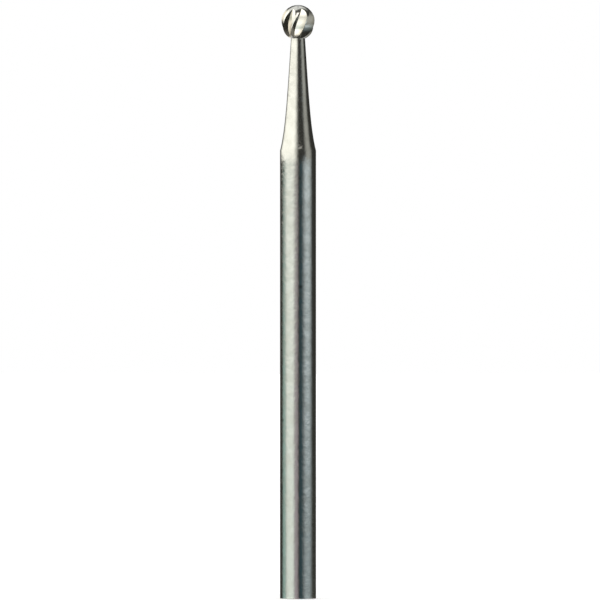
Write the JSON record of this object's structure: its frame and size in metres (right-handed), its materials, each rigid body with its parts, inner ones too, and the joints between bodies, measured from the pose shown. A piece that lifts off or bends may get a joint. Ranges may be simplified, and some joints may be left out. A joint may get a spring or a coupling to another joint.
{
  "type": "engraving cutter",
  "caption": "Small one-piece rotary engraving cutter: a fluted ball head on a waisted neck and a straight round shank.",
  "frame": {"origin": "centre of the flat end of the shank, on the tool's axis", "axes": "+Z along the tool's axis from the flat shank end to the tip of the ball head; the head has eight equal flutes, so +X and +Y have no meaning of their own, and -Y faces the picture's camera"},
  "size_m": [0.0024, 0.0024, 0.0392],
  "materials": {
    "ground_steel": "ground bright, with faint fine marks across the axis"
  },
  "bodies": {
    "root": {"cutter": "ground_steel"}
  },
  "joints": []
}
